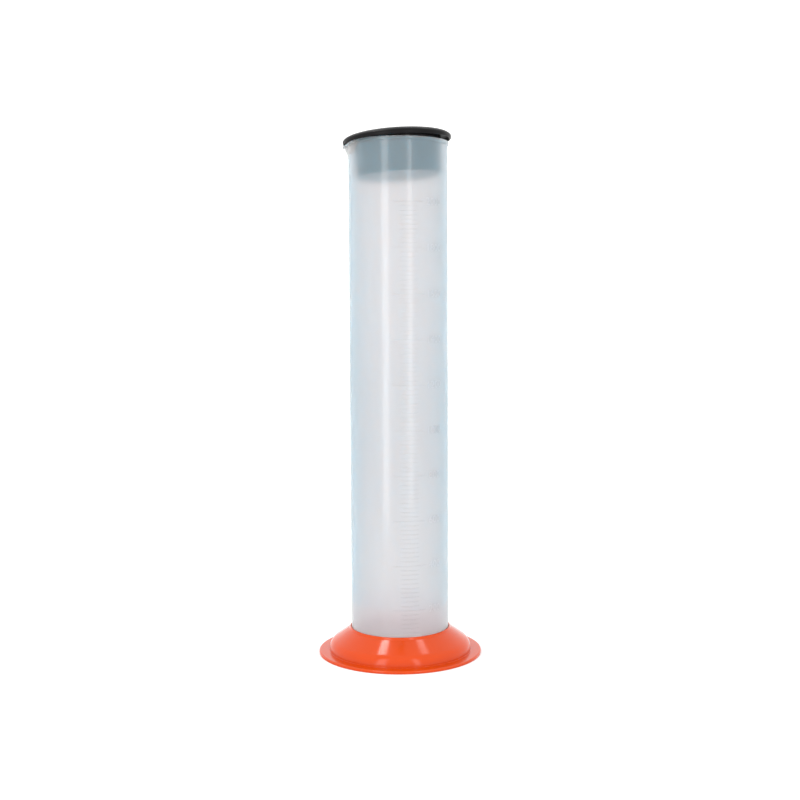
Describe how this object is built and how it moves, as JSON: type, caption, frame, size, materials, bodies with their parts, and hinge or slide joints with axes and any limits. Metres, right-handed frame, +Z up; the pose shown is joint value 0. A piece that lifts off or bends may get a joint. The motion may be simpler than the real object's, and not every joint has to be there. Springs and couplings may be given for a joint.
{
  "type": "graduated cylinder",
  "caption": "Tall translucent plastic measuring cylinder with a pouring lip and raised scale, standing in a domed flanged foot, with a drop-in lid recessed from above.",
  "frame": {"origin": "centre of the foot's underside, on the bench that it stands on", "axes": "+Z up along the tube; the scale faces -Y and the pouring lip points along -X"},
  "size_m": [0.144, 0.144, 0.4571],
  "materials": {
    "natural_polypropylene": "undyed, frosted and translucent, smooth outside",
    "orange_plastic": "smooth semi-gloss moulding",
    "black_plastic": "fine satin moulding"
  },
  "bodies": {
    "foot": {"foot": "orange_plastic"},
    "tube": {"measuring_tube": "natural_polypropylene"},
    "lid": {"lid": "black_plastic"}
  },
  "joints": [
    {"name": "tube_lift", "type": "slide", "parent": "foot", "child": "tube", "axis": [0, 0, 1], "range_m": [0, 0.05]},
    {"name": "lid_lift", "type": "slide", "parent": "tube", "child": "lid", "axis": [0, 0, 1], "range_m": [0, 0.12]}
  ]
}
